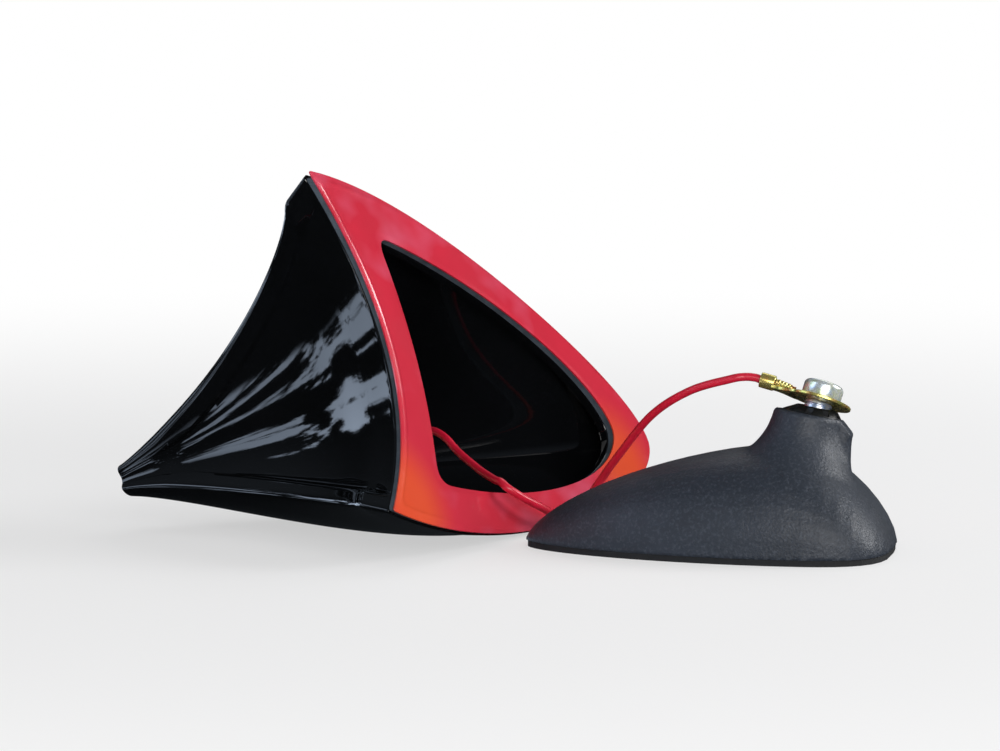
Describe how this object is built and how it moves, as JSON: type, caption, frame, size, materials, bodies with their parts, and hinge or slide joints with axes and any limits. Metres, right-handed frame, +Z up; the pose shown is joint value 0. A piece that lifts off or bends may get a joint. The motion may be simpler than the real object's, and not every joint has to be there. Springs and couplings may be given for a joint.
{
  "type": "shark fin aerial",
  "caption": "Shark fin aerial cover lying on its side with an adhesive pad, wired by a ring terminal to the moulded roof base it covers.",
  "frame": {"origin": "middle of the bounding box, on the ground that the base and the cover rest on", "axes": "+X from the cover's tip towards the rear of the base, along the longest extent; +Z up from the ground"},
  "size_m": [0.153, 0.1112, 0.0724],
  "materials": {
    "cover_gloss": "piano black, high gloss",
    "foam": "closed-cell foam, matt",
    "liner": "glossy red release film",
    "copper": "bare copper",
    "hot_glue": "satin, slightly yellow",
    "solder": "bright solder",
    "wire_insulation": "satin red insulation",
    "zinc_yellow": "yellow zinc plating",
    "insert_steel": "turned, plated",
    "base_black": "fine moulded grain, matt black",
    "cast_zinc": "die cast, as cast",
    "gasket_rubber": "matt rubber"
  },
  "bodies": {
    "root": {"fin_shell": "cover_gloss", "foam_pad": "foam", "pad_liner": "liner", "aerial_strip": "copper", "strip_glue": "hot_glue", "strip_solder": "solder", "aerial_wire": "wire_insulation", "wire_core": "copper", "ring_terminal": "zinc_yellow", "clamp_screw": "zinc_yellow", "mast_insert": "insert_steel", "base_housing": "base_black", "base_plate": "cast_zinc", "base_gasket": "gasket_rubber"}
  },
  "joints": []
}
